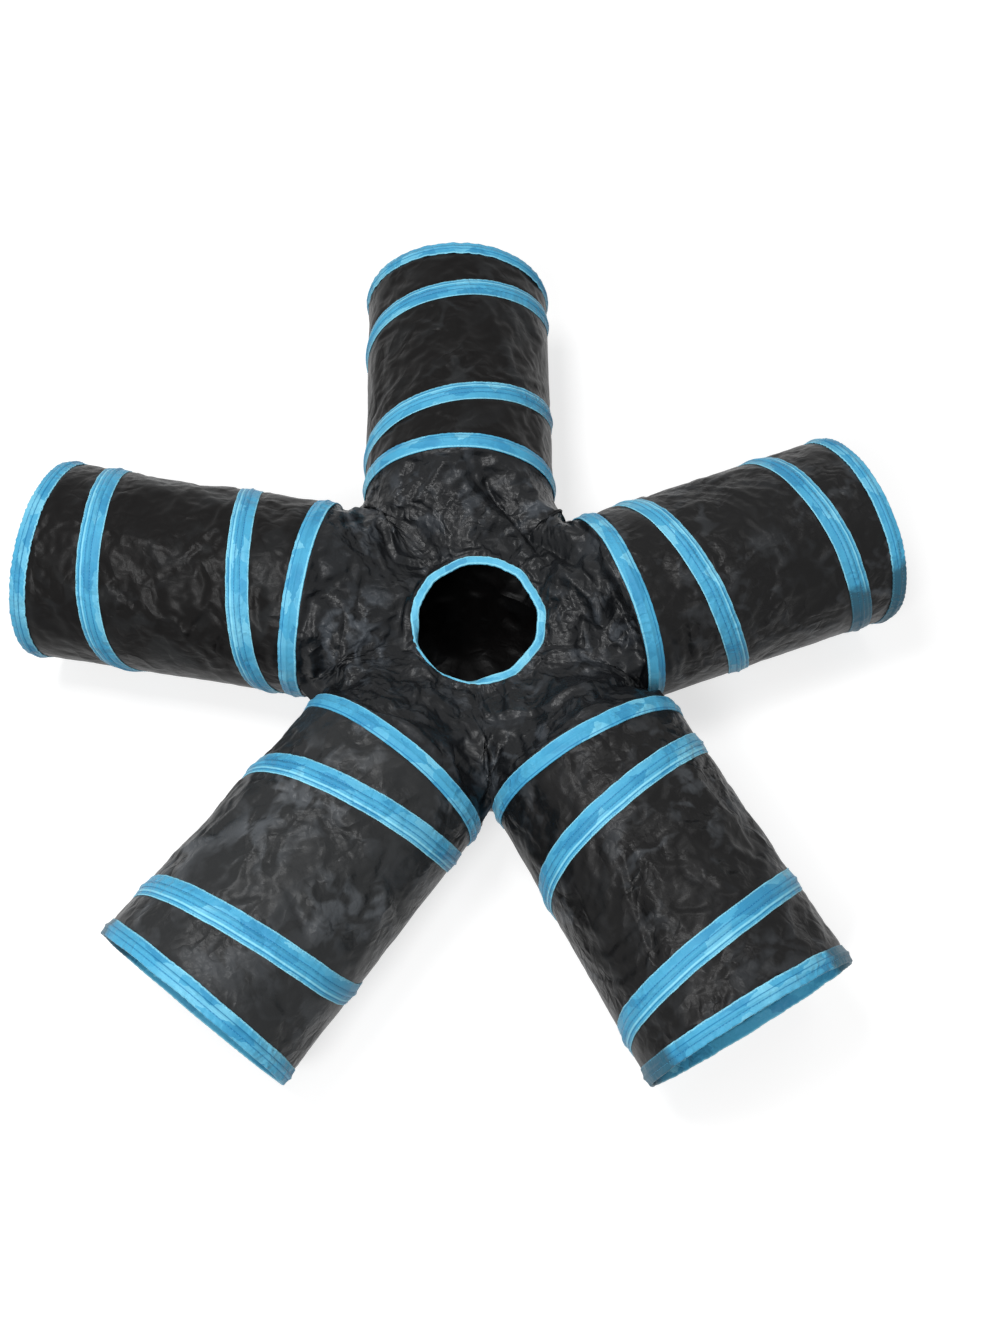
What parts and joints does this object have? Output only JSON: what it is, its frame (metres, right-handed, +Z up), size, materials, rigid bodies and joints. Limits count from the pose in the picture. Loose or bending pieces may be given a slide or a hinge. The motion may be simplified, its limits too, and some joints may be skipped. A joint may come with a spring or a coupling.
{
  "type": "pop-up cat tunnel",
  "caption": "Pop-up fabric cat tunnel: spring-wire tubes with taped rings and coils meet in a soft hub that has a round peephole in its top.",
  "frame": {"origin": "middle of the hub, on the flat ground that its floor panel lies on", "axes": "+Z up, +Y along the back arm to within 4 degrees, +X towards the right arm's side"},
  "size_m": [1.1099, 1.1112, 0.2419],
  "materials": {
    "black_polyester": "thin crinkled black polyester with a dull sheen",
    "blue_tape": "sky-blue satin binding tape",
    "spring_steel": "bright spring wire"
  },
  "bodies": {
    "hub": {"hub_top_panel": "black_polyester", "hub_floor_panel": "black_polyester", "peephole_binding": "blue_tape"},
    "right_arm": {"right_sleeve": "black_polyester", "right_spring_wire": "spring_steel", "right_coil_tape": "blue_tape", "right_hub_ring_tape": "blue_tape"},
    "right_mouth": {"right_mouth_binding": "blue_tape"},
    "back_arm": {"back_sleeve": "black_polyester", "back_spring_wire": "spring_steel", "back_coil_tape": "blue_tape", "back_hub_ring_tape": "blue_tape"},
    "back_mouth": {"back_mouth_binding": "blue_tape"},
    "left_arm": {"left_sleeve": "black_polyester", "left_spring_wire": "spring_steel", "left_coil_tape": "blue_tape", "left_hub_ring_tape": "blue_tape"},
    "left_mouth": {"left_mouth_binding": "blue_tape"},
    "front_left_arm": {"front_left_sleeve": "black_polyester", "front_left_spring_wire": "spring_steel", "front_left_coil_tape": "blue_tape", "front_left_hub_ring_tape": "blue_tape"},
    "front_left_mouth": {"front_left_mouth_binding": "blue_tape"},
    "front_right_arm": {"front_right_sleeve": "black_polyester", "front_right_spring_wire": "spring_steel", "front_right_coil_tape": "blue_tape", "front_right_hub_ring_tape": "blue_tape"},
    "front_right_mouth": {"front_right_mouth_binding": "blue_tape"}
  },
  "joints": [
    {"name": "right_swing", "type": "hinge", "parent": "hub", "child": "right_arm", "pos_m": [0.1781, 0.05718, 0.121], "axis": [0, 0, 1], "range_deg": [-10, 10], "deforming": ["hub_top_panel", "hub_floor_panel"]},
    {"name": "right_collapse", "type": "slide", "parent": "right_arm", "child": "right_mouth", "axis": [-0.9178, -0.3971, 0], "range_m": [0, 0.292], "stiffness_N_per_m": 20, "springref_m": -0.05, "deforming": ["right_sleeve", "right_spring_wire", "right_coil_tape"]},
    {"name": "back_swing", "type": "hinge", "parent": "hub", "child": "back_arm", "pos_m": [-0.02767, 0.22536, 0.121], "axis": [0, 0, 1], "range_deg": [-10, 10], "deforming": ["hub_top_panel", "hub_floor_panel"]},
    {"name": "back_collapse", "type": "slide", "parent": "back_arm", "child": "back_mouth", "axis": [0.0558, -0.9984, 0], "range_m": [0, 0.292], "stiffness_N_per_m": 20, "springref_m": -0.05, "deforming": ["back_sleeve", "back_spring_wire", "back_coil_tape"]},
    {"name": "left_swing", "type": "hinge", "parent": "hub", "child": "left_arm", "pos_m": [-0.2056, 0.05586, 0.121], "axis": [0, 0, 1], "range_deg": [-10, 10], "deforming": ["hub_top_panel", "hub_floor_panel"]},
    {"name": "left_collapse", "type": "slide", "parent": "left_arm", "child": "left_mouth", "axis": [0.99, -0.1409, 0], "range_m": [0, 0.292], "stiffness_N_per_m": 20, "springref_m": -0.05, "deforming": ["left_sleeve", "left_spring_wire", "left_coil_tape"]},
    {"name": "front_left_swing", "type": "hinge", "parent": "hub", "child": "front_left_arm", "pos_m": [-0.09082, -0.17825, 0.121], "axis": [0, 0, 1], "range_deg": [-10, 10], "deforming": ["hub_top_panel", "hub_floor_panel"]},
    {"name": "front_left_collapse", "type": "slide", "parent": "front_left_arm", "child": "front_left_mouth", "axis": [0.5693, 0.8221, 0], "range_m": [0, 0.292], "stiffness_N_per_m": 20, "springref_m": -0.05, "deforming": ["front_left_sleeve", "front_left_spring_wire", "front_left_coil_tape"]},
    {"name": "front_right_swing", "type": "hinge", "parent": "hub", "child": "front_right_arm", "pos_m": [0.1458, -0.16079, 0.121], "axis": [0, 0, 1], "range_deg": [-10, 10], "deforming": ["hub_top_panel", "hub_floor_panel"]},
    {"name": "front_right_collapse", "type": "slide", "parent": "front_right_arm", "child": "front_right_mouth", "axis": [-0.515, 0.8572, 0], "range_m": [0, 0.292], "stiffness_N_per_m": 20, "springref_m": -0.05, "deforming": ["front_right_sleeve", "front_right_spring_wire", "front_right_coil_tape"]}
  ]
}
